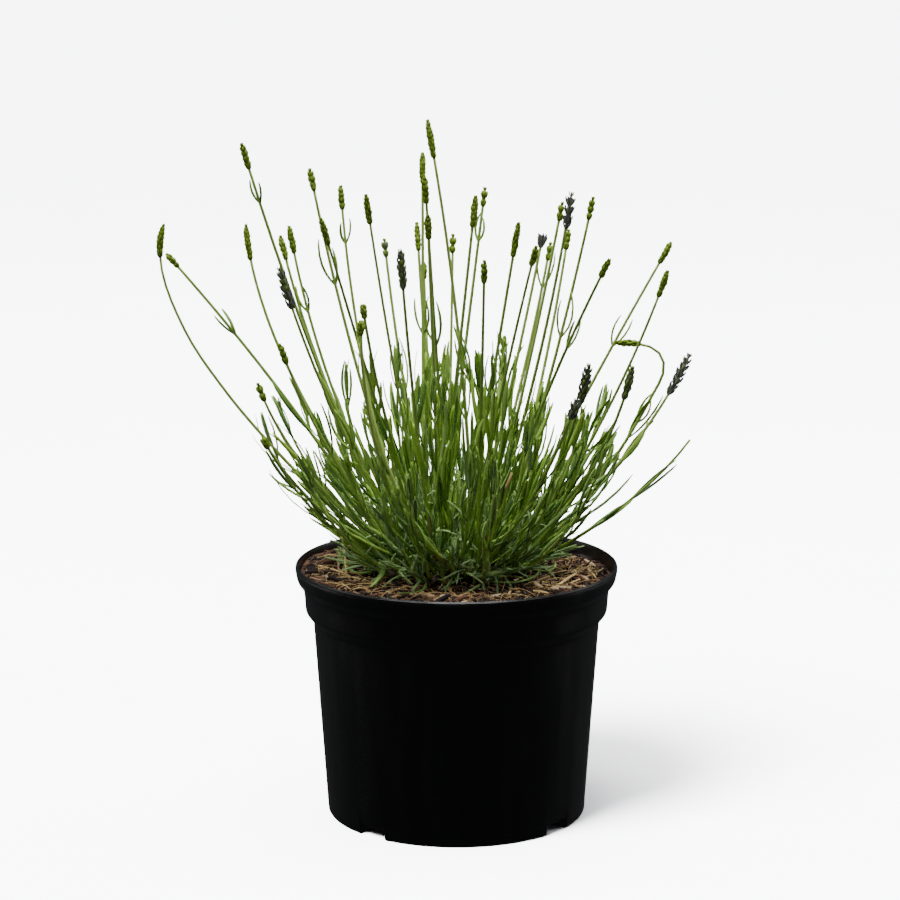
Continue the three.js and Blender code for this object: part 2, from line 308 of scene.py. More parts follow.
def cad_rings(node):
    """The middle of each ring of a swept CAD stem, from root to tip. A ring is what one more step
    over the triangles reaches, starting from the root's pole."""
    spots, faces = cad_mesh(node)
    foot = spots[spots[:, 2] < spots[:, 2].min() + 4 * MM].mean(0)
    step = np.full(len(spots), -1)
    step[np.linalg.norm(spots - foot, axis=1).argmin()] = 0
    while (step < 0).any():
        known = step >= 0
        near = faces[known[faces].any(1)]
        step[near[~known[near]]] = step.max() + 1
    return np.array([spots[step == k].mean(0) for k in range(step.max() + 1)])


# ---- Materials ----


def linear(colour):
    """An sRGB hex colour, such as "4f7a1e", as linear red, green, blue and alpha."""
    parts = [int(colour[i:i + 2], 16) / 255 for i in (0, 2, 4)]
    return [*(c / 12.92 if c <= 0.04045 else ((c + 0.055) / 1.055) ** 2.4 for c in parts), 1.0]


def new_material(name):
    """An empty material and its node tree."""
    made = bpy.data.materials.new(name)
    made.use_nodes = True
    made.node_tree.nodes.clear()
    return made, made.node_tree


def node(tree, kind, inputs=None, **settings):
    """Adds one shader node. Its inputs are constants, or outputs of other nodes to link."""
    made = tree.nodes.new("ShaderNode" + kind)
    for key, value in settings.items():
        setattr(made, key, value)
    for key, value in (inputs or {}).items():
        if isinstance(value, bpy.types.NodeSocket):
            tree.links.new(value, made.inputs[key])
        else:
            made.inputs[key].default_value = value
    return made


def mixed(tree, factor, first, second):
    """The colour between two others, by a factor."""
    return node(tree, "Mix", {0: factor, 6: first, 7: second}, data_type="RGBA").outputs[2]


def ranged(tree, value, low, high, to_low=0.0, to_high=1.0):
    """A value's place between two limits, carried to two others."""
    return node(tree, "MapRange", {
        "Value": value, "From Min": low, "From Max": high, "To Min": to_low, "To Max": to_high,
    }).outputs[0]


def speckle(tree, size, detail=2.0, roughness=0.5, stretch=(1, 1, 1)):
    """Noise on the object's own coordinates, whose lumps are `size` across."""
    place = node(tree, "Mapping", {
        "Vector": node(tree, "TexCoord").outputs["Object"], "Scale": [s / size for s in stretch]})
    return node(tree, "TexNoise", {
        "Vector": place.outputs[0], "Scale": 1.0, "Detail": detail, "Roughness": roughness,
    }).outputs["Fac"]


def own(tree, name):
    """A vertex attribute of the piece."""
    return node(tree, "Attribute", attribute_name=name).outputs["Fac"]


def finished(tree, colour, roughness, height=None, relief=0.0, **constants):
    """The principled shader with its output. `relief` is the depth in metres of the height's bump."""
    inputs = {"Base Color": colour, "Roughness": roughness}
    if height is not None:
        inputs["Normal"] = node(tree, "Bump", {
            "Height": height, "Strength": 1.0, "Distance": relief}).outputs[0]
    inputs.update({key.replace("_", " "): value for key, value in constants.items()})
    shader = node(tree, "BsdfPrincipled", inputs)
    node(tree, "OutputMaterial", {"Surface": shader.outputs[0]})


def moulded_polypropylene(colour):
    """Black polypropylene, injection moulded: a satin skin with a fine spark-eroded grain, and
    paler scuffs and dust where the pot has rubbed."""
    material, tree = new_material("moulded_polypropylene")
    grain = speckle(tree, 0.9 * MM, 3.0)  # the real grain is 0.2 mm, drawn coarser so that it shows
    flow = speckle(tree, 14 * MM, 2.0, stretch=(1, 1, 0.12))
    scuff = ranged(tree, speckle(tree, 2.2 * MM, 5.0, 0.7), 0.66, 0.78)
    body = mixed(tree, flow, linear(colour), linear("070708"))
    skin_colour = mixed(tree, ranged(tree, scuff, 0, 1, 0, 0.2), body, linear("2a2927"))
    roughness = ranged(tree, flow, 0.3, 0.7, 0.3, 0.42)
    finished(tree, skin_colour, roughness, grain, 0.05 * MM, Specular_IOR_Level=0.45)
    return material


def damp_compost(dark, light):
    """Composted bark and coir, damp: matt crumbs a few millimetres wide in dark brown, with
    reddish bark and pale fibre among them."""
    material, tree = new_material("damp_compost")
    crumbs = speckle(tree, 3.5 * MM, 6.0, 0.65)
    fibres = speckle(tree, 2.0 * MM, 4.0, 0.6, stretch=(1, 0.25, 1))
    ground = mixed(tree, ranged(tree, crumbs, 0.42, 0.75), linear(dark), linear(light))
    colour = mixed(tree, ranged(tree, fibres, 0.62, 0.75, 0, 0.5), ground, linear("8a6a45"))
    finished(tree, colour, 0.92, crumbs, 1.2 * MM)
    return material


def bark_splinter(dark, light, pale):
    """Chipped pine bark: dry reddish brown splinters with a split grain, some of them pale."""
    material, tree = new_material("bark_splinter")
    tone = own(tree, "tone")
    grain = speckle(tree, 0.8 * MM, 4.0, 0.6)
    brown = mixed(tree, ranged(tree, tone, 0.1, 0.75), linear(dark), linear(light))
    mottled = mixed(tree, ranged(tree, grain, 0.35, 0.7, 0, 0.6), brown, linear("170e08"))
    colour = mixed(tree, ranged(tree, tone, 0.7, 0.95), mottled, linear(pale))
    finished(tree, colour, 0.88, grain, 0.25 * MM)
    return material


def coir_fibre(colour):
    """Coconut fibre and straw: dry tan strands with a faint shine."""
    material, tree = new_material("coir_fibre")
    streak = speckle(tree, 1.5 * MM, 3.0)
    base = mixed(tree, own(tree, "tone"), linear("7a4e2a"), linear(colour))
    finished(tree, mixed(tree, ranged(tree, streak, 0.3, 0.7, 0, 0.35), base, linear("4f3420")),
             0.7, streak, 0.1 * MM)
    return material


def woody_bark(colour):
    """Lavender wood: grey brown bark that peels in long strips."""
    material, tree = new_material("woody_bark")
    strips = speckle(tree, 1.6 * MM, 5.0, 0.6, stretch=(1, 1, 0.5))
    finished(tree, mixed(tree, ranged(tree, strips, 0.35, 0.65), linear("2c221a"), linear(colour)),
             0.9, strips, 0.5 * MM)
    return material


def lavender_stem(colour, shade):
    """A young lavender stem: waxy green with fine pale hairs, some stems duller than others."""
    material, tree = new_material("lavender_stem")
    down = speckle(tree, 0.7 * MM, 3.0)
    tone = ranged(tree, own(tree, "tone"), 0, 1, 0, 0.7)
    green = mixed(tree, tone, linear(colour), linear(shade))
    hairy = mixed(tree, ranged(tree, down, 0.5, 0.8, 0, 0.25), green, linear("cbdc96"))
    finished(tree, hairy, 0.6, down, 0.05 * MM, Specular_IOR_Level=0.04)
    return material


def lavender_leaf(colour, shade, old):
    """A lavender leaf: matt and slightly furry, fresh green above and silvery where it is old."""
    material, tree = new_material("lavender_leaf")
    felt = speckle(tree, 1.1 * MM, 4.0, 0.6)
    tone = own(tree, "tone")
    # A random tone per leaf, from the dark leaf colour to the fresh one; the dark end is partly painted
    # shade for the inside of the bush.
    fresh = mixed(tree, tone, linear(shade), linear(colour))
    tip = mixed(tree, ranged(tree, own(tree, "along"), 0.55, 1.0, 0, 0.35), fresh, linear("90b836"))
    aged = mixed(tree, own(tree, "age"), tip, linear(old))
    furry = mixed(tree, ranged(tree, felt, 0.45, 0.75, 0, 0.3), aged, linear("b4cc8e"))
    finished(tree, furry, 0.66, felt, 0.08 * MM, Specular_IOR_Level=0.04)
    return material


def lavender_calyx(bud, edge, ripe_foot, violet):
    """Lavender calyces: ribbed and downy, olive while shut, grey with violet tips as they ripen."""
    material, tree = new_material("lavender_calyx")
    down = speckle(tree, 0.6 * MM, 3.0)
    share = own(tree, "along")
    tone = own(tree, "tone")
    green = mixed(tree, ranged(tree, share, 0.2, 1.0), linear(bud), linear(edge))
    uneven = mixed(tree, ranged(tree, tone, 0, 1, 0, 0.55), green, linear("5d7d12"))
    grey = mixed(tree, ranged(tree, share, 0.35, 0.95), linear(ripe_foot), linear(violet))
    ripe = mixed(tree, own(tree, "ripe"), uneven, grey)
    finished(tree, mixed(tree, ranged(tree, down, 0.5, 0.8, 0, 0.2), ripe, linear("a3b277")),
             0.7, down, 0.08 * MM, Specular_IOR_Level=0.04)
    return material


# ---- Settings that a user would change ----


def size_prop(name, text, default):
    return bpy.props.FloatProperty(
        name=name, description=text, default=default, min=0.0, unit="LENGTH", precision=4)


def count_prop(name, text, default):
    return bpy.props.IntProperty(name=name, description=text, default=default, min=0)


def colour_prop(name, text, default):
    """A colour kept as an sRGB hex value."""
    return bpy.props.StringProperty(name=name, description=text, default=default, maxlen=6)


class PotSettings(bpy.types.PropertyGroup):
    height: size_prop("Height", "From the floor to the top of the lip", POT_HIGH.z)
    rim: size_prop("Rim radius", "Half the width across the lip", POT_HIGH.x)
    wall: size_prop("Wall", "Thickness of the moulded wall", 1.7 * MM)
    floor: size_prop("Floor", "Thickness of the pot's floor", 2.4 * MM)
    notch_width: size_prop("Notch width", "Width of a drainage notch", 19 * MM)
    notch_height: size_prop("Notch height", "Height of a drainage notch", 6 * MM)
    colour: colour_prop("Plastic", "Colour of the plastic", "020203")


class CompostSettings(bpy.types.PropertyGroup):
    level: size_prop("Level", "Height of the soil at the plant", 143.5 * MM)
    chips: count_prop("Chips", "Bark chips on top", 3300)
    fibres: count_prop("Fibres", "Loose coir fibres on top", 700)
    chip: size_prop("Chip length", "Length of a middling chip", 6.0 * MM)
    dark: colour_prop("Dark bark", "Colour of damp bark", "120a06")
    light: colour_prop("Light bark", "Colour of dry bark", "7d5334")
    pale: colour_prop("Pale bark", "Colour of the palest chips", "ecd3a8")
    fibre: colour_prop("Fibre", "Colour of coir and straw", "e6c885")


class PlantSettings(bpy.types.PropertyGroup):
    seed: count_prop("Seed", "Number that sets every chance detail", 11)
    shoots: count_prop("Shoots", "Leafy shoots between the flower stems", 54)
    rosettes: count_prop("Rosettes", "Low shoots near the soil", 84)
    stem: size_prop("Stem width", "Width of a flower stem at its foot", 2.05 * MM)
    leaf: size_prop("Leaf length", "Length of a full leaf", 42 * MM)
    leaf_width: size_prop("Leaf width", "Width of a full leaf", 2.9 * MM)
    spike: size_prop("Spike width", "Width of a bud spike", 4.9 * MM)
    bud: size_prop("Bud length", "Length of a bud", 4.3 * MM)
    stem_colour: colour_prop("Stem", "Colour of young stems", "96b056")
    stem_shade: colour_prop("Stem shade", "Colour of duller stems", "5c7e2b")
    leaf_colour: colour_prop("Leaf", "Colour of fresh leaves", "98be46")
    # The dark leaf colour is both darker leaves and painted shade: it was made darker so that the inside of
    # the bush looks shaded, though leaves take it at random.
    dark_leaf_and_painted_shade: colour_prop("Leaf shade", "Colour of darker leaves", "2f5c14")
    old_colour: colour_prop("Old leaf", "Colour of the old leaves near the soil", "8ca678")
    bud_colour: colour_prop("Bud", "Colour of green buds", "58701c")
    bud_edge: colour_prop("Bud tip", "Colour of the buds' tips", "849b3e")
    ripe_foot: colour_prop("Ripe bud", "Colour of the ripe calyces' lower parts", "77786a")
    violet: colour_prop("Violet", "Colour of the ripe calyces' tips", "3d3852")
    wood: colour_prop("Wood", "Colour of the woody branches", "6f6350")


class StageSettings(bpy.types.PropertyGroup):
    floor_colour: colour_prop("Floor", "Colour of the floor and backdrop", "f0f1f5")
    white: bpy.props.FloatProperty(
        name="White", description="Brightness of the backdrop", default=11.0, min=0.0)
    lens: bpy.props.FloatProperty(
        name="Lens", description="Focal length in millimetres", default=111.64, min=1.0)


class LavenderSettings(bpy.types.PropertyGroup):
    pot: bpy.props.PointerProperty(type=PotSettings)
    compost: bpy.props.PointerProperty(type=CompostSettings)
    plant: bpy.props.PointerProperty(type=PlantSettings)
    stage: bpy.props.PointerProperty(type=StageSettings)


# ---- The pot ----


def eased(corners, steps=5):
    """An outline with its corners rounded: each corner (radius, height, ease) becomes a curve bent
    once, from `ease` before it to `ease` after it."""
    corners = np.asarray(corners, float)
    points, ease = corners[1:-1, :2], corners[1:-1, 2:]
    before = points + unit(corners[:-2, :2] - points) * ease
    after = points + unit(corners[2:, :2] - points) * ease
    curves = bent(before, points, after, np.linspace(0, 1, steps)).reshape(-1, 2)
    return np.concatenate([corners[:1, :2], curves, corners[-1:, :2]])


def divided(outline, longest):
    """The outline with extra points, so that no step is longer than `longest`."""
    steps = np.linalg.norm(np.diff(outline, axis=0), axis=1)
    reach = np.r_[0, np.cumsum(steps)]
    parts = np.maximum(1, np.ceil(steps / longest)).astype(int)
    at = np.concatenate([np.linspace(a, b, n, endpoint=False)
                         for a, b, n in zip(reach[:-1], reach[1:], parts)] + [reach[-1:]])
    return np.stack([np.interp(at, reach, column) for column in outline.T], 1)


class LAVENDER_OT_pot(bpy.types.Operator):
    """Builds the moulded pot: a wall that widens upwards, a band, a rolled lip and four notches"""
    bl_idname = "lavender.pot"
    bl_label = "Pot"

    def execute(self, context):
        pot = context.scene.lavender.pot
        rim, height, wall = pot.rim / MM, pot.height / MM, pot.wall / MM
        floor = pot.floor / MM
        foot = rim - 18.5
        shoulder = rim - 10.5
        corners = [
            (2, 0, 0), (foot, 0, 1.8), (shoulder, height - 33, 1.6), (rim - 6, height - 27.5, 1.6),
            (rim - 5, height - 14, 1.6), (rim - 1.2, height - 9, 1.5), (rim + 0.1, height - 2.4, 1.6),
            (rim - 0.6, height, 1.2), (rim - 2.3, height - 0.3, 0.7),
            (rim - 2.7, height - 8.2, 1.2), (rim - 5 - wall, height - 13.4, 1.0),
            (rim - 6 - wall, height - 26.8, 1.2), (shoulder - wall, height - 32.2, 1.2),
            (foot - wall + 0.2, floor, 1.6), (2, floor, 0),
        ]
        profile = MM * divided(eased(corners), 5.0)
        notches = FIRST_NOTCH + np.arange(NOTCHES) * 2 * np.pi / NOTCHES
        half_turn = pot.notch_width / 2 / (foot * MM)
        edges = (notches[:, None] + half_turn * np.array([-1.04, -1.0, -0.9, 0.9, 1.0, 1.04])).ravel()
        turns = np.unique(np.r_[np.linspace(0, 2 * np.pi, 216, endpoint=False), edges % (2 * np.pi)])

        def lifted(radius, level, turn):
            """The foot rises over each notch: an arch round the wall that fades out below the floor."""
            off = np.abs((turn[..., None] - notches + np.pi) % (2 * np.pi) - np.pi).min(-1) / half_turn
            arch = np.clip(1 - off**8, 0, 1) ** 0.3 * pot.notch_height
            near = np.clip((radius / MM - (foot - 15)) / 3, 0, 1)
            low = np.clip(1 - (level - 3 * MM) / (9 * MM), 0, 1)
            return level + arch * near * low

        piece("pot_shell", [(turned(profile, turns, lifted), {})],
              moulded_polypropylene(pot.colour), ["nursery_pot"])
        return {"FINISHED"}


# ---- The compost ----


def soil_height(x, y, level):
    """The soil's top: level in the middle, higher at the front left and lower at the back right,
    with lumps of a few millimetres."""
    radius = np.hypot(x, y) / MM
    edge = np.clip((radius - 52) / 32, 0, 1)
    edge = edge * edge * (3 - 2 * edge)
    tilt = (-x - y) / (POT_HIGH.x * math.sqrt(2))
    return level + MM * (edge * (0.6 + 3.2 * tilt) + 0.9 * lumps(x, y, 17 * MM, 1)
                         + 0.8 * lumps(x, y, 6 * MM, 2) + 0.4 * lumps(x, y, 2.4 * MM, 3))


def scattered(count, low, high, rng):
    """Random places on a ring of the soil."""
    radius = np.sqrt(rng.uniform(low**2, high**2, count))
    turn = rng.uniform(0, 2 * np.pi, count)
    return radius * np.cos(turn), radius * np.sin(turn)


class LAVENDER_OT_compost(bpy.types.Operator):
    """Builds the bark and coir compost: a lumpy bed, chips, fibres and a few straws"""
    bl_idname = "lavender.compost"
    bl_label = "Compost"

    def execute(self, context):
        soil = context.scene.lavender.compost
        wall = POT_HIGH.x - 3.1 * MM
        self.bed(soil, wall)
        self.chips(soil, wall)
        self.fibres(soil, wall)
        return {"FINISHED"}

    def bed(self, soil, wall):
        """A turned solid inside the pot whose top follows the soil's height."""
        edge, level = wall / MM, soil.level / MM
        side = [(2, 6, 0), (66, 6, 2), (74, 13, 2), (82, 118, 1.5), (edge - 5, 123.5, 1.5),
                (edge - 4.2, 136, 1), (edge - 0.3, 141, 0.3), (edge - 0.4, level, 0)]
        top = np.stack([np.linspace(edge - 0.8, 2, 62), np.full(62, level)], 1)
        profile = MM * np.concatenate([divided(eased(side), 8.0), top])
        turns = np.linspace(0, 2 * np.pi, 240, endpoint=False)

        def lumpy(radius, height, turn):
            surface = soil_height(radius * np.cos(turn), radius * np.sin(turn), soil.level)
            return np.where(height > soil.level - 0.6 * MM, surface, height)

        piece("compost_bed", [(turned(profile, turns, lumpy), {})],
              damp_compost(soil.dark, soil.light), ["bark_compost"])

    def chips(self, soil, wall):
        """Splinters that lie every way on the bed: short strands with a wedge outline."""
        rng = np.random.default_rng(21)
        count = soil.chips
        x, y = scattered(count, 6 * MM, wall - 2.2 * MM, rng)
        size = soil.chip * rng.lognormal(-0.3, 0.5, count).clip(0.3, 2.3)
        turn = rng.uniform(0, 2 * np.pi, count)
        tilt = rng.normal(0, 0.3, count)
        lie = np.stack([np.cos(turn) * np.cos(tilt), np.sin(turn) * np.cos(tilt), np.sin(tilt)], 1)
        width = size * rng.uniform(0.05, 0.17, count)
        depth = width * rng.uniform(0.4, 0.9, count)
        room = np.clip((wall - 0.6 * MM - np.hypot(x, y)) / np.maximum(size / 2, 1e-6), 0.3, 1)
        size = size * room
        middle = np.stack([x, y, soil_height(x, y, soil.level) + depth * rng.uniform(-0.2, 1.0, count)
                           + np.abs(np.sin(tilt)) * size * 0.25], 1)
        bow = square_to(lie, rng.uniform(0, 2 * np.pi, count)) * (size * 0.12)[:, None]
        share = np.array([0, 0.18, 0.55, 0.9, 1])
        path = bent(middle - lie * size[:, None] / 2, middle + bow, middle + lie * size[:, None] / 2, share)
        taper = np.array([0.45, 0.9, 1.0, 0.75, 0.35])
        uneven = rng.uniform(0.75, 1.2, (count, len(share)))
        across = square_to(lie, np.pi / 2 + rng.normal(0, 0.7, count))
        points = skin(path, across, width[:, None] * taper * uneven, depth[:, None] * taper, SPLINTER)
        piece("bark_chips", [(points, {"tone": rng.beta(0.75, 1.5, count)})],
              bark_splinter(soil.dark, soil.light, soil.pale))

    def fibres(self, soil, wall):
        """Thin bowed strands, and straws laid at the right and left of the plant."""
        rng = np.random.default_rng(22)
        count = soil.fibres
        x, y = scattered(count, 20 * MM, wall - 6 * MM, rng)
        turn = rng.uniform(0, 2 * np.pi, count)
        size = rng.uniform(6, 20, count) * MM * np.clip((wall - np.hypot(x, y)) / (10 * MM), 0.3, 1)
        lie = np.stack([np.cos(turn), np.sin(turn), rng.normal(0, 0.12, count)], 1)
        middle = np.stack([x, y, soil_height(x, y, soil.level) + rng.uniform(0.6, 2.6, count) * MM], 1)
        bow = square_to(lie, rng.normal(0, 1.2, count)) * (size * rng.uniform(0.05, 0.45, count))[:, None]
        share = np.linspace(0, 1, 6)
        ends = lie * size[:, None] / 2
        path = bent(middle - ends, middle + bow, middle + ends, share)
        girth = rng.uniform(0.14, 0.4, count)[:, None] * MM * np.array([0.5, 0.9, 1, 1, 0.8, 0.4])
        thin = skin(path, square_to(lie, 0 * turn), girth, girth, ring_outline(4))
        # Straws: x, y and turn in degrees, length and half width, in millimetres.
        straws = np.array([
            [63, -26, 66, 38, 1.0], [71, -20, 54, 34, 0.7], [80, -12, 100, 16, 0.5], [47, -60, -35, 12, 0.9],
            [53, -38, -40, 10, 0.6], [44, 4, 60, 18, 0.8], [60, -2, 24, 16, 0.5], [30, -62, 80, 6, 0.7],
            [-73, -10, -55, 36, 0.6], [-62, -22, -48, 34, 0.5], [-58, 8, -38, 22, 0.9],
            [-56, -44, 2, 20, 0.5], [-70, 12, 20, 20, 0.4], [-64, -50, -70, 22, 0.4],
            [20, 70, 30, 30, 0.7], [-40, 62, -50, 26, 0.6]])
        x, y, turn, size, girth = straws.T
        turn = np.radians(turn)
        lie = np.stack([np.cos(turn), np.sin(turn), 0.03 + 0 * turn], 1)
        middle = np.stack([x * MM, y * MM, soil_height(x * MM, y * MM, soil.level) + 2.2 * MM], 1)
        ends = lie * size[:, None] * MM / 2
        share = np.linspace(0, 1, 7)
        path = bent(middle - ends, middle + [0, 0, 0.6 * MM], middle + ends, share)
        girth = girth[:, None] * MM * np.array([0.7, 1, 1, 1, 0.95, 0.9, 0.6])
        thick = skin(path, square_to(lie, 0 * turn), girth, 0.6 * girth, ring_outline(6))
        piece("coir_fibres", [(thin, {"tone": rng.uniform(0.1, 1, count)}), (thick, {"tone": 0.9})],
              coir_fibre(soil.fibre))


# ---- Leaves and shoots ----

LEAF_SHARES = np.array([0, 0.1, 0.28, 0.5, 0.72, 0.9, 1])
LEAF_WIDTHS = np.array([0.42, 0.58, 0.86, 1, 0.96, 0.74, 0.32])
LEAF_DEPTHS = np.array([1.2, 1.1, 1, 1, 0.9, 0.7, 0.4])


def leaves(base, axis, out, length, width, start, end, sway, values, thick=1.0):
    """A skin of leaves. Each leaves its stem at the angle `start` between the axis and `out`, bends
    to the angle `end` at its tip, and leans sideways by `sway` of its length. `thick` scales its
    thickness."""
    side = np.cross(axis, out)

    def toward(angle):
        return axis * np.cos(angle)[:, None] + out * np.sin(angle)[:, None]

    length = length[:, None]
    middle = base + 0.5 * length * toward(start)
    tip = base + length * toward(end) + sway[:, None] * length * side
    path = bent(base, middle, tip, LEAF_SHARES)
    depth = thick * (0.3 + 0.05 * width / MM)[:, None] * MM * LEAF_DEPTHS
    points = skin(path, side, width[:, None] / 2 * LEAF_WIDTHS, depth, LEAF)
    values = {"along": np.broadcast_to(LEAF_SHARES, (len(base), len(LEAF_SHARES))), **values}
    return points, values


def leaf_pairs(points, shares, rng, length, width, spread=(0.34, 0.1), turn=None, age=0.0, curl=0.0,
               thick=1.0):
    """Pairs of leaves on a stem. Each pair stands a quarter turn from the one before it. `spread` is
    a leaf's angle to the stem at its foot and at its tip, and `curl` is how much more the tips of
    some of them turn outwards."""
    shares = np.repeat(np.asarray(shares, float), 2)
    count = len(shares)
    turn = rng.uniform(0, 2 * np.pi) if turn is None else turn
    around = turn + np.repeat(np.arange(count // 2) * np.pi / 2, 2) + np.tile([0, np.pi], count // 2)
    axis = heading(points, shares)
    out = square_to(axis, around + rng.normal(0, 0.15, count))
    base = along(points, shares) + out * 0.3 * MM
    start = np.abs(rng.normal(spread[0], 0.12, count))
    end = start * rng.uniform(0.1, 0.5, count) + rng.normal(spread[1] - 0.12, 0.08, count)
    end = end + curl * rng.uniform(0, 1, count) ** 2
    size = rng.uniform(0.82, 1.12, count) * length
    return leaves(base, axis, out, size, rng.uniform(0.6, 1.08, count) * width, start, end,
                  rng.normal(0, 0.06, count),
                  {"tone": rng.uniform(0, 1, count), "age": np.clip(age + rng.normal(0, 0.1, count), 0, 1)},
                  thick)


def stem_skin(points, low, high, wide, narrow, rng, stations=18, tone=None):
    """A square stem between two shares of a curve, which narrows upwards."""
    share = np.linspace(low, high, stations)
    path = along(points, share)
    girth = np.linspace(wide, narrow, stations) / 2
    across = square_to(unit(points[-1] - points[0]), rng.uniform(0, np.pi / 2))
    tone = rng.uniform(0, 1) if tone is None else tone
    return skin(path[None], across[None], girth[None], girth[None], SQUARE), {
        "tone": np.array([tone]), "along": share[None]}


def arc(root, tip, belly):
    """Nine points of a stem bent once, whose middle stands out from the straight line by the belly,
    away from the pot's axis."""
    away = unit(np.array([tip[0] - root[0], tip[1] - root[1], 0.0]))
    return bent(root, (root + tip) / 2 + 2 * belly * away, tip, np.linspace(0, 1, 9))


def shoot(points, plant, rng, pairs, leaf, age=0.0, cut=False, spread=(0.34, 0.1), curl=0.0):
    """A leafy shoot: a green stem with pairs of leaves that get shorter and more upright upwards,
    small leaves in their axils, and a closed tuft at the tip unless it was cut. Short leaves are
    narrower."""
    width = plant.leaf_width * min(1.0, (leaf / plant.leaf) ** 0.7)
    parts = [stem_skin(points, 0, 1, plant.stem, 0.6 * plant.stem, rng, 12)]
    shares = np.linspace(0.3, 0.58, pairs) if cut else np.linspace(0.18, 0.95, pairs)
    size = leaf * np.interp(shares, [0, 0.45, 0.8, 1], [0.78, 1.05, 0.9, 0.62])
    turn = rng.uniform(0, np.pi)
    foliage = [leaf_pairs(points, shares, rng, np.repeat(size, 2), width, spread, turn, age, curl)]
    axils = shares[: pairs // 2]
    foliage.append(leaf_pairs(
        points, axils, rng, np.repeat(size[: len(axils)] * 0.42, 2), 0.62 * width, (0.3, 0.1),
        turn + 0.5, age, curl))
    if not cut:
        foliage.append(leaf_pairs(points, [0.985, 1.0], rng, 0.6 * leaf, 0.8 * width, (0.14, 0.04), age=age))
    return parts, foliage


# ---- Bud spikes ----

BUD_SHARES = np.array([0, 0.25, 0.6, 0.88, 1])
BUD_WIDTHS = np.array([0.45, 0.9, 1, 0.72, 0.25])


def bud_spike(points, start, plant, ripe, rng):
    """The skins of one spike: a core and whorls of six buds. A bud leaves the stem low down, bulges
    out and closes in again. Most spikes have one whorl below the rest, with a gap above it. The
    riper a spike, the further apart its whorls stand and the more its calyces spread."""
    total = length_of(points) * (1 - start)
    pitch = (1.95 + 1.35 * ripe) * MM
    bud = plant.bud * (1 + 0.45 * ripe)
    whorls = max(4, int((total - 0.75 * bud) / pitch))
    rise = np.linspace(0, 1, whorls)
    if total > 11 * MM:
        gap = rng.uniform(0.05, 0.16)
        rise[1:] = gap + (1 - gap) * (rise[1:] - rise[1]) / (1 - rise[1])
    size = np.interp(rise, [0, 0.2, 0.55, 0.82, 1], [0.82, 0.98, 1, 0.8, 0.5])
    share = start + (1 - start) * rise * (1 - 0.6 * bud / total)
    place, ahead = along(points, share), heading(points, share)
    around = (np.arange(6) / 6 * 2 * np.pi)[None] + (np.arange(whorls) * np.pi / 6)[:, None]
    around = around + rng.normal(0, 0.12, around.shape)
    ahead, place = (np.repeat(a, 6, axis=0) for a in (ahead, place))
    out = square_to(ahead, around.ravel())
    size = np.repeat(size, 6) * rng.uniform(0.88, 1.1, 6 * whorls)
    reach = (plant.spike / 2 - 0.75 * MM) * size * (1 + 0.25 * ripe)
    long = bud * size
    base = place + out * 0.3 * MM - ahead * (0.15 * long)[:, None]
    middle = place + out * (1.35 * reach)[:, None] + ahead * (0.3 * long)[:, None]
    tip = place + out * (reach * (0.75 + 0.7 * ripe))[:, None] + ahead * (0.85 * long)[:, None]
    path = bent(base, middle, tip, BUD_SHARES)
    girth = (0.9 - 0.12 * ripe) * MM * size[:, None] * BUD_WIDTHS
    count = len(size)
    buds = skin(path, np.cross(ahead, out), girth, girth * 0.85, ring_outline(6))
    bloom = np.clip(ripe + rng.normal(0, 0.22, count) * (ripe > 0), 0, 1)
    shares = np.linspace(start - 0.004, 1 - 0.25 * bud / total * (1 - start), 8)
    core_girth = plant.spike / 2 * 0.6 * np.array([0.4, 0.7, 0.8, 1, 1, 0.85, 0.6, 0.25])
    core = skin(along(points, shares)[None], square_to(ahead[:1], [0.0]), core_girth[None],
                core_girth[None], ring_outline(6))
    spread = np.broadcast_to(BUD_SHARES, (count, len(BUD_SHARES)))
    return [(buds, {"along": spread, "tone": rng.uniform(0, 1, count), "ripe": bloom}),
            (core, {"along": 0.1, "tone": 0.8, "ripe": 0.8 * ripe})]


def flower_stem(points, start, high, ripe, plant, rng):
    """One flowering stem as three joined kinds of strand: the square stem, leaves and the spike."""
    total = length_of(points)
    top = min(0.8 * start, rng.uniform(66, 96) * MM / total)
    count = 3 if top * total > 72 * MM else 2
    shares = np.linspace(10 * MM / total, top, count) + rng.uniform(-0.015, 0.015, count)
    size = plant.leaf * np.linspace(0.98, 0.8, count)
    foliage = [leaf_pairs(points, shares, rng, np.repeat(size, 2), plant.leaf_width * 0.9, (0.4, 0.1))]
    if high:
        level, leaf = MM * np.array(high)
        share = np.linspace(0, 1, 200)
        at = share[np.abs(along(points, share)[:, 2] - level).argmin()]
        foliage.append(leaf_pairs(points, [at], rng, leaf, 1.9 * MM, (0.62, 0.08), turn=1.1, thick=1.9))
    stem = stem_skin(points, 0, start + 0.004, plant.stem, 0.72 * plant.stem, rng, 26)
    return [stem], foliage, bud_spike(points, start, plant, ripe, rng)


def layered(name, stems, foliage, spikes, materials, replaces=()):
    """Joins the strands of a plant part into one piece with the three green finishes."""
    made = piece(name, [*stems, *foliage, *spikes], materials[0],
                 replaces)
    kinds = []
    for kind, parts in enumerate((stems, foliage, spikes)):
        for points, _ in parts:
            strands, rings, sides, _ = points.shape
            kinds.append(np.full(strands * (rings - 1) * sides, kind))
            kinds.append(np.full(strands * 2 * sides, kind))
    for material in materials[1:]:
        made.data.materials.append(material)
    made.data.polygons.foreach_set("material_index", np.concatenate(kinds).astype(np.int32))
    return made


def plant_materials(plant):
    """The three green finishes, made once."""
    if "lavender_leaf" in bpy.data.materials:
        return [bpy.data.materials[name] for name in ("lavender_stem", "lavender_leaf", "lavender_calyx")]
    return [lavender_stem(plant.stem_colour, plant.stem_shade),
            lavender_leaf(plant.leaf_colour, plant.dark_leaf_and_painted_shade, plant.old_colour),
            lavender_calyx(plant.bud_colour, plant.bud_edge, plant.ripe_foot, plant.violet)]


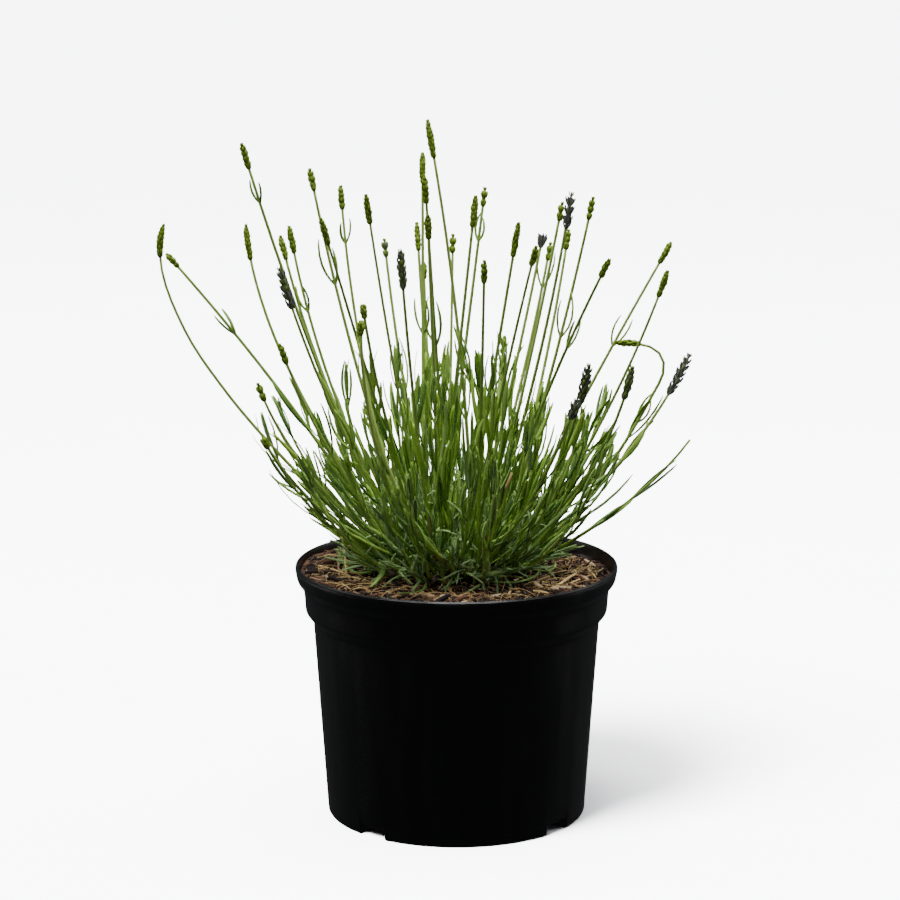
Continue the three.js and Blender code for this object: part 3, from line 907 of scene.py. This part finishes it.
class LAVENDER_OT_flower_stems(bpy.types.Operator):
    """Builds the flowering stems on the lines of the frame's stems"""
    bl_idname = "lavender.flower_stems"
    bl_label = "Flower stems"

    def execute(self, context):
        plant = context.scene.lavender.plant
        materials = plant_materials(plant)
        for name in FLOWER_STEMS:
            number = int(name[-2:])
            rng = np.random.default_rng([plant.seed, number])
            rings = cad_rings(name)[1:]
            rings[0] -= unit(rings[1] - rings[0]) * 5 * MM
            neck = length_of(rings[:6]) / length_of(rings)
            parts = flower_stem(rings, neck, HIGH_PAIRS.get(number), RIPE.get(number, 0.0), plant, rng)
            layered(name.replace("flower_stem", "flowering_stem"), *parts, materials, [name])
        rng = np.random.default_rng([plant.seed, 99])
        neck = 1 - HOOKED_SPIKE / length_of(HOOKED_ROUTE)
        parts = flower_stem(HOOKED_ROUTE, neck, HOOKED_PAIR, 0.0, plant, rng)
        layered("flowering_stem_hooked", *parts, materials, ["hooked_flower_stem"])
        return {"FINISHED"}


class LAVENDER_OT_shoots(bpy.types.Operator):
    """Builds the frame's leafy shoots and the one that was cut"""
    bl_idname = "lavender.shoots"
    bl_label = "Leafy shoots"

    def execute(self, context):
        plant = context.scene.lavender.plant
        materials = plant_materials(plant)
        for name in [*LEAFY_SHOOTS, "cut_shoot"]:
            rng = np.random.default_rng([plant.seed, 200 + len(name), int(name[-2:], 36)])
            spots, _ = cad_mesh(name)
            root = spots[spots[:, 2] < spots[:, 2].min() + 3 * MM].mean(0)
            tip = spots[np.linalg.norm(spots - root, axis=1).argmax()]
            cut = name == "cut_shoot"
            points = arc(root - [0, 0, 4 * MM], tip if cut else root + 0.86 * (tip - root), 9 * MM)
            stems, foliage = shoot(points, plant, rng, 2 if cut else 4, plant.leaf * (0.8 if cut else 0.9),
                                   0.25, cut, (0.1, 0.06) if cut else (0.34, 0.1))
            made = name.replace("leafy_shoot", "leafy_branchlet").replace("cut_shoot", "cut_branchlet")
            layered(made, stems, foliage, [], materials, [name])
        self.front_shoot(plant, materials)
        return {"FINISHED"}

    def front_shoot(self, plant, materials):
        """The pale stem in front: broad leaves at its foot and thin pairs further up."""
        rng = np.random.default_rng([plant.seed, 98])
        stem = stem_skin(FRONT_ROUTE, 0, 1, 2.6 * MM, 1.6 * MM, rng, 26, tone=0.0)
        broad = leaf_pairs(FRONT_ROUTE, [0.12, 0.2], rng, 20 * MM, 4.2 * MM, (0.4, 0.1), turn=0.3)
        thin = leaf_pairs(FRONT_ROUTE, [0.38, 0.56], rng, 25 * MM, 1.8 * MM, (0.3, 0.1), turn=1.0, thick=1.3)
        tuft = leaf_pairs(FRONT_ROUTE, [0.97, 1.0], rng, 11 * MM, 2.2 * MM, (0.2, 0.05), turn=0.5)
        layered("front_shoot", [stem], [broad, thin, tuft], [], materials)


class LAVENDER_OT_foliage(bpy.types.Operator):
    """Builds the dense leafy shoots between the flowering stems and the low rosettes"""
    bl_idname = "lavender.foliage"
    bl_label = "Foliage"

    def execute(self, context):
        plant = context.scene.lavender.plant
        materials = plant_materials(plant)
        rng = np.random.default_rng([plant.seed, 300])
        sectors = 8
        grown = [([], []) for _ in range(sectors)]
        for k in range(plant.shoots):
            # Shoots spread evenly over a dome: a golden turn each, leaning more and more.
            turn = k * GOLDEN_TURN + rng.normal(0, 0.1)
            lean = MOST_LEAN * ((k + 0.5) / plant.shoots) ** 0.58
            away = np.array([math.cos(turn), math.sin(turn), 0.0])
            root = away * (4 + 36 * math.sqrt(k / plant.shoots)) * MM + [0, 0, SHOOT_FOOT]
            reach = np.interp(math.degrees(lean), [0, 20, 35, 47], [124, 110, 84, 66]) * MM
            reach *= rng.uniform(0.6, 1.06)
            tip = root + reach * (away * math.sin(lean) + np.array([0, 0, math.cos(lean)]))
            tip += rng.normal(0, 4, 3) * MM
            points = arc(root, tip, 0.09 * reach)
            parts = shoot(points, plant, rng, 3 if reach < 70 * MM else 4,
                          plant.leaf * rng.uniform(0.8, 1.08), 0.02 + 0.24 * lean / MOST_LEAN,
                          spread=(0.36, 0.11))
            stems, foliage = grown[int((turn % (2 * math.pi)) / (2 * math.pi) * sectors) % sectors]
            stems.extend(parts[0])
            foliage.extend(parts[1])
        for number, (stems, foliage) in enumerate(grown):
            layered(f"foliage_{number + 1}", stems, foliage, [], materials)
        self.rosettes(plant, materials)
        return {"FINISHED"}

    def rosettes(self, plant, materials):
        """Short grey-green shoots that start at the soil, some upright and some nearly flat."""
        rng = np.random.default_rng([plant.seed, 301])
        stems, foliage = [], []
        for k in range(plant.rosettes):
            turn = k * GOLDEN_TURN + 0.6
            away = np.array([math.cos(turn), math.sin(turn), 0.0])
            root = away * rng.uniform(8, 46) * MM + [0, 0, ROSETTE_FOOT]
            lean = math.radians(rng.uniform(6, 74))
            reach = (rng.uniform(20, 38) + 34 * max(0.0, math.cos(lean) - 0.5)) * MM
            tip = root + reach * (away * math.sin(lean) + np.array([0, 0, math.cos(lean)]))
            parts = shoot(arc(root, tip, 0.0), plant, rng, 4, plant.leaf * rng.uniform(0.42, 0.68), 0.7,
                          spread=(0.5, 0.2), curl=1.3)
            stems.extend(parts[0])
            foliage.extend(parts[1])
        layered("low_rosettes", stems, foliage, [], materials)


class LAVENDER_OT_loose(bpy.types.Operator):
    """Builds the leaves that have dropped on the compost and the dead stems"""
    bl_idname = "lavender.loose"
    bl_label = "Loose leaves"

    def execute(self, context):
        plant = context.scene.lavender.plant
        rng = np.random.default_rng([plant.seed, 500])
        share = np.linspace(0, 1, 9)
        foot, middle, tip = (MM * LOOSE_LEAVES[:, k:k + 3] for k in (0, 3, 6))
        path = bent(foot, 2 * middle - (foot + tip) / 2, tip, share)
        width = MM * LOOSE_LEAVES[:, 9:] / 2 * np.array([0.4, 0.7, 0.95, 1, 1, 1, 0.95, 0.75, 0.35])
        across = unit(np.cross(tip - foot, [0, 0, 1.0]))
        fallen = skin(path, across, width, 0.3 * width + 0.15 * MM, LEAF)
        along_leaf = np.broadcast_to(share, width.shape)
        values = {"tone": rng.uniform(0, 0.5, len(width)), "age": 0.25, "along": along_leaf}
        piece("fallen_leaves", [(fallen, values)], plant_materials(plant)[1])
        foot, middle, tip = (MM * DEAD_STEMS[:, k:k + 3] for k in (0, 3, 6))
        path = bent(foot, 2 * middle - (foot + tip) / 2, tip, share)
        girth = MM * DEAD_STEMS[:, 9:] / 2 * np.linspace(1.1, 0.85, 9)
        dead = skin(path, across[:1] + 0 * foot, girth, girth, SQUARE)
        piece("dead_stems", [(dead, {"tone": np.array([1.0, 0.3, 0.0, 0.9, 0.2])})], coir_fibre("d8c47a"))
        return {"FINISHED"}


class LAVENDER_OT_crown(bpy.types.Operator):
    """Builds the woody stock: a short trunk and knotted branches that spread over the soil"""
    bl_idname = "lavender.crown"
    bl_label = "Woody crown"

    def execute(self, context):
        plant = context.scene.lavender.plant
        rng = np.random.default_rng([plant.seed, 400])
        count = 10
        share = np.linspace(0, 1, 14)
        turn = np.arange(count) * 2 * np.pi / count
        away = np.stack([np.cos(turn), np.sin(turn), 0 * turn], 1)
        reach = CROWN_HIGH.x - 1 * MM
        high = np.array([0, 0, BRANCH_HEIGHT])
        end = high + reach * away + [0, 0, 1.5 * MM]
        path = bent(high + 2 * MM * away, high + reach / 2 * away, end, share)
        path = path + rng.normal(0, 0.5 * MM, path.shape)
        girth = np.linspace(3.8, 2.2, 14)[None] * MM * rng.uniform(0.85, 1.15, (count, 14))
        branches = skin(path, np.cross(away, [0, 0, 1.0]), girth, girth, ring_outline(9))
        levels = np.linspace(CROWN_LOW.z, CROWN_HIGH.z - 1 * MM, 16)
        trunk_path = np.stack([0 * levels, 0 * levels, levels], 1)[None]
        trunk_girth = np.interp(levels, [levels[0], levels[0] + 2 * MM, 147 * MM, levels[-1]],
                                [5 * MM, 8 * MM, 8 * MM, 3 * MM])[None] * rng.uniform(0.94, 1.0, (1, 16))
        trunk = skin(trunk_path, np.array([[1.0, 0, 0]]), trunk_girth, trunk_girth, ring_outline(14))
        piece("crown_branches", [(branches, {}), (trunk, {})], woody_bark(plant.wood),
              ["woody_crown"])
        return {"FINISHED"}


# ---- The stage ----


class LAVENDER_OT_stage(bpy.types.Operator):
    """Builds the pale floor, the backdrop, soft studio light and the camera"""
    bl_idname = "lavender.stage"
    bl_label = "Stage"

    def execute(self, context):
        stage = context.scene.lavender.stage
        collection = context.scene.collection
        floor = self.floor(stage, collection)
        self.backdrop(stage, collection)
        self.world(context.scene)
        # Soft boxes: place, half size in x and y, power in watts. All point at the plant.
        boxes = {
            "top_light": ((0.0, 0.1, 2.2), (1.3, 1.3), 100),
            "left_light": ((-2.2, 0.6, 0.9), (1.0, 1.8), 26),
            "right_light": ((2.2, 0.7, 1.0), (1.0, 1.8), 32),
            "front_light": ((-0.7, -2.2, 2.0), (0.9, 0.8), 26),
        }
        for name, (place, size, power) in boxes.items():
            self.soft_box(collection, name, place, size, power)
        self.floor_sun(stage, collection, floor)
        self.camera(context.scene, stage)
        return {"FINISHED"}

    def floor(self, stage, collection):
        """A wide flat disc at the foot of the pot."""
        turns = np.linspace(0, 2 * np.pi, 64, endpoint=False)
        rim = FLOOR_REACH * np.stack([np.cos(turns), np.sin(turns), 0 * turns], 1)
        mesh = bpy.data.meshes.new("studio_floor")
        mesh.from_pydata(rim.tolist(), [], [list(range(64))])
        material, tree = new_material("white_cotton")
        # White cotton sheet: matt, with soft creases about 200 mm apart.
        creases = speckle(tree, 220 * MM, 3.0, 0.45)
        finished(tree, linear(stage.floor_colour), 0.95, creases, 6 * MM, Specular_IOR_Level=0.1)
        mesh.materials.append(material)
        floor = bpy.data.objects.new("studio_floor", mesh)
        collection.objects.link(floor)
        floor.visible_diffuse = False
        floor.visible_glossy = False
        return floor

    def backdrop(self, stage, collection):
        """A glowing dome far round the object, which lights nothing and casts no shadow."""
        rise = np.linspace(-0.2, np.pi / 2 - 0.02, 24)
        turns = np.linspace(0, 2 * np.pi, 48, endpoint=False)
        dome = turned(BACKDROP_REACH * np.stack([np.cos(rise), np.sin(rise)], 1), turns)[0]
        quads, _, fans, _ = faces_of(*dome.shape[:2])
        points = [*dome.reshape(-1, 3).tolist(), dome[0].mean(0).tolist(), dome[-1].mean(0).tolist()]
        mesh = bpy.data.meshes.new("backdrop")
        mesh.from_pydata(points, [], [*quads.tolist(), *fans[len(fans) // 2:].tolist()])
        material, tree = new_material("backdrop_white")
        glow = node(tree, "Emission", {"Color": linear(stage.floor_colour), "Strength": stage.white})
        node(tree, "OutputMaterial", {"Surface": glow.outputs[0]})
        mesh.materials.append(material)
        backdrop = bpy.data.objects.new("backdrop", mesh)
        collection.objects.link(backdrop)
        backdrop.visible_diffuse = False
        backdrop.visible_glossy = False
        backdrop.visible_transmission = False
        backdrop.visible_shadow = False

    def world(self, scene):
        """Even pale light from all round."""
        scene.world = bpy.data.worlds.new("studio")
        scene.world.use_nodes = True
        shade = scene.world.node_tree.nodes["Background"]
        shade.inputs["Color"].default_value = linear("e9eef2")
        shade.inputs["Strength"].default_value = 0.06

    def soft_box(self, collection, name, place, size, power):
        light = bpy.data.lights.new(name, "AREA")
        light.shape = "RECTANGLE"
        light.size, light.size_y = size
        light.energy = power
        lamp = bpy.data.objects.new(name, light)
        collection.objects.link(lamp)
        lamp.location = place
        aim = np.array([0, 0, 0.2]) - np.array(place)
        lamp.rotation_euler = (
            math.acos(-aim[2] / np.linalg.norm(aim)), 0, math.atan2(aim[1], aim[0]) - math.pi / 2)
        lamp.visible_camera = False

    def floor_sun(self, stage, collection, floor):
        """A soft sun that lights the floor alone, so that the floor shows white."""
        light = bpy.data.lights.new("floor_sun", "SUN")
        light.energy = stage.white * 2.9
        light.angle = math.radians(23)
        lamp = bpy.data.objects.new("floor_sun", light)
        collection.objects.link(lamp)
        lamp.rotation_euler = (math.radians(24), math.radians(-26), 0)
        lit = bpy.data.collections.new("floor_only")
        lit.objects.link(floor)
        lamp.light_linking.receiver_collection = lit

    def camera(self, scene, stage):
        lens = bpy.data.cameras.new("camera")
        lens.lens = stage.lens
        eye = bpy.data.objects.new("camera", lens)
        scene.collection.objects.link(eye)
        eye.location = (-0.0038, -1.6, 0.538)
        eye.rotation_euler = (math.radians(78.67), 0, 0)
        scene.camera = eye


# ---- The panel ----


class LAVENDER_PT_panel(bpy.types.Panel):
    """Lists the settings and the steps of the build"""
    bl_label = "Potted lavender"
    bl_idname = "LAVENDER_PT_panel"
    bl_space_type = "VIEW_3D"
    bl_region_type = "UI"
    bl_category = "Lavender"

    def draw(self, context):
        settings = context.scene.lavender
        for part in ("pot", "compost", "plant", "stage"):
            group = getattr(settings, part)
            box = self.layout.box()
            for key in type(group).__annotations__:
                box.prop(group, key)
        for operator in OPERATORS:
            self.layout.operator(operator.bl_idname)


SETTINGS = (PotSettings, CompostSettings, PlantSettings, StageSettings, LavenderSettings)
OPERATORS = (
    LAVENDER_OT_pot, LAVENDER_OT_compost, LAVENDER_OT_crown, LAVENDER_OT_flower_stems,
    LAVENDER_OT_shoots, LAVENDER_OT_foliage, LAVENDER_OT_loose, LAVENDER_OT_stage)
CLASSES = (*SETTINGS, *OPERATORS, LAVENDER_PT_panel)


def register():
    for cls in CLASSES:
        bpy.utils.register_class(cls)
    bpy.types.Scene.lavender = bpy.props.PointerProperty(type=LavenderSettings)


def unregister():
    del bpy.types.Scene.lavender
    for cls in reversed(CLASSES):
        bpy.utils.unregister_class(cls)


def main():
    register()
    for operator in OPERATORS:
        getattr(bpy.ops.lavender, operator.bl_idname.split(".")[1])()


if __name__ == "__main__":
    main()
